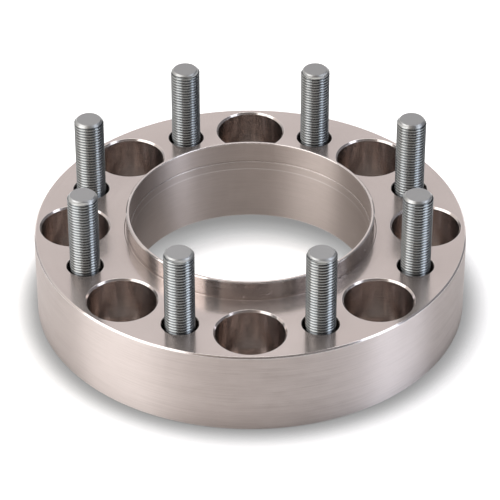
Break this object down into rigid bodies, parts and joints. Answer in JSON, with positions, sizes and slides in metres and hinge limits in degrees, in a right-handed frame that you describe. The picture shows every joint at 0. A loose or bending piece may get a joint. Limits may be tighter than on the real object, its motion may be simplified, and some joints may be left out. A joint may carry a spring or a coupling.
{
  "type": "wheel spacer",
  "caption": "Thick round aluminium wheel spacer with a raised pilot lip, deep lug-nut pockets and pressed-in threaded wheel studs.",
  "frame": {"origin": "centre of the ring's hub face, which the part lies on", "axes": "+Z along the ring's axis, from the hub face to the ends of the studs; -Y towards a lug pocket"},
  "size_m": [0.2032, 0.2032, 0.0805],
  "materials": {
    "machined_aluminium": "fine-turned satin",
    "zinc_plated_steel": "zinc-plated"
  },
  "bodies": {
    "root": {"spacer_ring": "machined_aluminium", "wheel_stud_1": "zinc_plated_steel", "wheel_stud_2": "zinc_plated_steel", "wheel_stud_3": "zinc_plated_steel", "wheel_stud_4": "zinc_plated_steel", "wheel_stud_5": "zinc_plated_steel", "wheel_stud_6": "zinc_plated_steel", "wheel_stud_7": "zinc_plated_steel", "wheel_stud_8": "zinc_plated_steel"}
  },
  "joints": []
}
